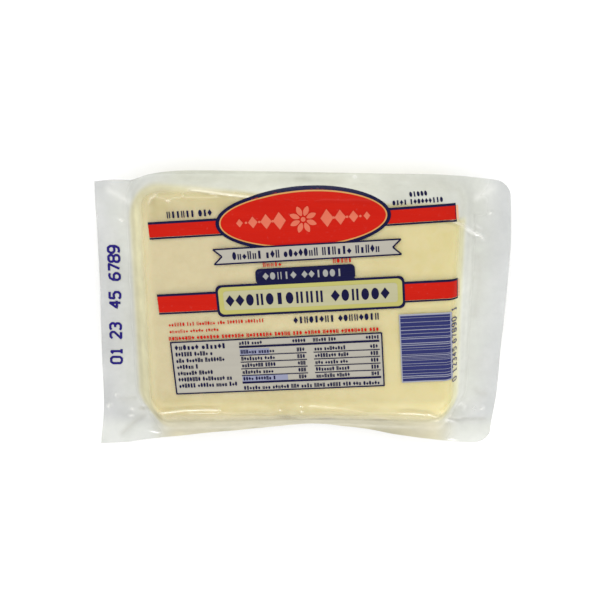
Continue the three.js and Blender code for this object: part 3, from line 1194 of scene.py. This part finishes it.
def film_material():
    n = Nodes("pouch_film")

    def tone(name, left=-60, right=60):
        return n.mix(across(n, left, right), *(n.mottled(*pair) for pair in FILM_TONES[name]))

    wet = n.mix(n.attribute("soft"), tone("wet"), tone("wrinkled"))
    # Near the slab the film is painted lighter, as painted light.
    loose = n.mix(n.attribute("near_slab_light"), tone("far"), tone("near"))
    colour = n.mix(n.attribute("cling"), loose, wet)
    colour = n.mix(n.attribute("over"), colour, tone("over", 15, 58))
    colour = n.mix(n.attribute("below"), colour, n.mottled(*BELOW_TONE))
    # Painted shade in the dips of the cheese.
    colour = n.mix(n.span(n.attribute("hollow_shade"), 0.1, 1, 0, 0.6), colour, (0.27, 0.23, 0.12))
    # Painted shade along grooves.
    colour = n.mix(n.span(n.attribute("groove_shade"), 0, 1, 0, 0.3), colour, (0.30, 0.29, 0.22))
    patchy = n.span(n.noise(26, 2), 0.35, 0.65, 0.95, 1.05)
    # Painted light and shade: the lift attribute scales the colour.
    colour = n.scaled(colour, n.times(n.attribute("lift"), patchy))
    # Ridges are painted whiter: partly stretched film, partly a painted highlight.
    crease_highlight = n.mix(n.attribute("cling"), (0.85, 0.85, 0.81), (0.84, 0.80, 0.60))
    colour = n.mix(n.span(n.attribute("whitening_and_highlight"), 0, 1, 0, 0.9), colour, crease_highlight)
    grain = n.span(n.noise(120, 4, 0.6), 0.3, 0.7, 0.92, 1.08)
    gloss = n.span(n.noise(90, 4), 0.3, 0.7, 0.8, 1.3)
    return n.finish(
        Base_Color=colour,
        Alpha=n.times(n.attribute("haze"), grain),
        Roughness=n.times(n.span(n.attribute("soft"), 0, 1, 0.11, 0.5), gloss),
        IOR=2.0,
        Normal=n.bump(n.noise(420, 3, 0.6), 0.2, 0.0002),
    )


def cheese_material():
    n = Nodes("cheese")
    pale = n.mottled(22, (0.55, 0.473, 0.278), (0.627, 0.54, 0.333))
    warm = n.mottled(26, (0.61, 0.53, 0.235), (0.675, 0.595, 0.285))
    fine = n.noise(260, 4, 0.6)
    colour = n.mix(across(n, -30, 55), pale, warm)
    dark = n.mottled(40, (0.46, 0.39, 0.175), (0.56, 0.48, 0.225))
    colour = n.mix(n.attribute("shade"), colour, dark)
    green = n.mix(across(n, -60, 60), (0.575, 0.525, 0.31), (0.655, 0.61, 0.325))
    colour = n.mix(n.span(n.attribute("green"), 0, 1, 0, 0.7), colour, green)
    # Painted light and shade: the lift attribute scales the colour.
    colour = n.scaled(colour, n.attribute("lift"))
    colour = n.mix(n.span(fine, 0.35, 0.65, 0, 0.3), colour, (0.70, 0.635, 0.42))
    # Painted shade in the dips of the face.
    colour = n.mix(n.span(n.attribute("hollow_shade"), 0.1, 1, 0, 0.6), colour, (0.27, 0.22, 0.10))
    return n.finish(
        Base_Color=colour,
        Roughness=n.span(fine, 0.3, 0.7, 0.5, 0.65),
        Specular_IOR_Level=0.2,
        Subsurface_Weight=0.15,
        Subsurface_Scale=0.003,
        Normal=n.bump(fine, 0.3, 0.0003),
    )


def ink_material(name, light, dark):
    """Ink that is streaked along the print and worn in fine spots."""
    n = Nodes(name)
    stretched = n.add("ShaderNodeMapping", {"Vector": n.place(), "Scale": (40, 420, 40)})
    streaks = n.noise(1, 4, 0.6, stretched.outputs["Vector"])
    spots = n.noise(700, 3, 0.7)
    worn = tuple(0.85 * v + 0.12 for v in light)
    colour = n.mix(n.span(streaks, 0.35, 0.65, 0, 0.5), light, dark)
    colour = n.mix(n.span(spots, 0.62, 0.75, 0, 0.2), colour, worn)
    return n.finish(
        Base_Color=colour,
        Roughness=n.span(streaks, 0.3, 0.7, 0.22, 0.36),
        Specular_IOR_Level=0.08,
        Normal=n.bump(spots, 0.1, 0.0001),
    )


# Slot, and the two tones that an ink is streaked with
INK_COLOURS = {
    "red": ("red_print", (0.49, 0.010, 0.003), (0.435, 0.006, 0.002)),
    "peach": ("red_print", (0.72, 0.42, 0.26), (0.64, 0.35, 0.20)),
    "salmon": ("red_print", (0.62, 0.15, 0.09), (0.56, 0.11, 0.06)),
    "navy": ("navy_print", (0.006, 0.006, 0.042), (0.003, 0.003, 0.022)),
    "indigo": ("navy_print", (0.028, 0.032, 0.13), (0.018, 0.021, 0.09)),
    "tint": ("navy_print", (0.26, 0.27, 0.37), (0.22, 0.23, 0.34)),
    "code": ("navy_print", (0.020, 0.012, 0.17), (0.010, 0.006, 0.10)),
    "gold": ("gold_print", (0.56, 0.28, 0.09), (0.50, 0.23, 0.06)),
    "green": ("green_print", (0.43, 0.405, 0.13), (0.38, 0.36, 0.10)),
    "straw": ("green_print", (0.43, 0.41, 0.26), (0.38, 0.365, 0.21)),
    "pale": ("pale_print", (0.40, 0.38, 0.325), (0.36, 0.34, 0.295)),
    "lilac": ("pale_print", (0.31, 0.32, 0.39), (0.27, 0.28, 0.36)),
    "cream": ("pale_print", (0.31, 0.31, 0.29), (0.26, 0.26, 0.26)),
}


def make_inks():
    """The slot and the material of each ink."""
    return {
        name: (slot, ink_material(f"{name}_ink", light, dark))
        for name, (slot, light, dark) in INK_COLOURS.items()
    }


# Stage
CAMERA_TARGET = (0.276, 7.685, 21.5)
CAMERA_DISTANCE = 290.0
CAMERA_TILT = 15.0
FLOOR_SIZE = 3.0
FLOOR_DROP = 0.0003


def make_camera():
    data = bpy.data.cameras.new("camera")
    data.lens = 48
    data.sensor_width = 36
    data.clip_start = 0.01
    data.clip_end = 20
    camera = add_object("camera", data)
    tilt = math.radians(CAMERA_TILT)
    x, y, z = CAMERA_TARGET
    camera.location = (
        x * MM,
        (y + CAMERA_DISTANCE * math.sin(tilt)) * MM,
        (z + CAMERA_DISTANCE * math.cos(tilt)) * MM,
    )
    camera.rotation_euler = (-tilt, 0, 0)
    bpy.context.scene.camera = camera


def make_floor():
    mesh = bpy.data.meshes.new("floor")
    corners = [(-1, -1), (1, -1), (1, 1), (-1, 1)]
    mesh.from_pydata([(FLOOR_SIZE * x, FLOOR_SIZE * y, 0) for x, y in corners], [], [(0, 1, 2, 3)])
    mesh.materials.append(Nodes("floor").finish(Base_Color=(0.97, 0.97, 0.97), Roughness=0.9))
    floor = add_object("floor", mesh)
    floor.location = (0, 0, -FLOOR_DROP)


def make_light(name, place, size, power):
    """An area light that faces the middle of the pouch."""
    data = bpy.data.lights.new(name, "AREA")
    data.shape = "RECTANGLE"
    data.size, data.size_y = size
    data.energy = power
    light = add_object(name, data)
    light.location = place
    x, y, z = place
    light.rotation_euler = (math.atan2(math.hypot(x, y), z), 0, math.atan2(y, x) + math.pi / 2)


def make_lights():
    world = bpy.data.worlds.new("world")
    bpy.context.scene.world = world
    world.use_nodes = True
    background = world.node_tree.nodes["Background"]
    background.inputs["Color"].default_value = (1, 1, 1, 1)
    background.inputs["Strength"].default_value = 1.0
    make_light("back_strip", (-0.1, 0.55, 0.5), (0.9, 0.07), 1.7)
    make_light("front_strip", (0.1, -0.76, 0.25), (0.9, 0.06), 3.2)
    bpy.context.scene.view_settings.view_transform = "Standard"


make_film(film_material())
make_cheese(cheese_material())
make_print(make_inks())
make_camera()
make_floor()
make_lights()
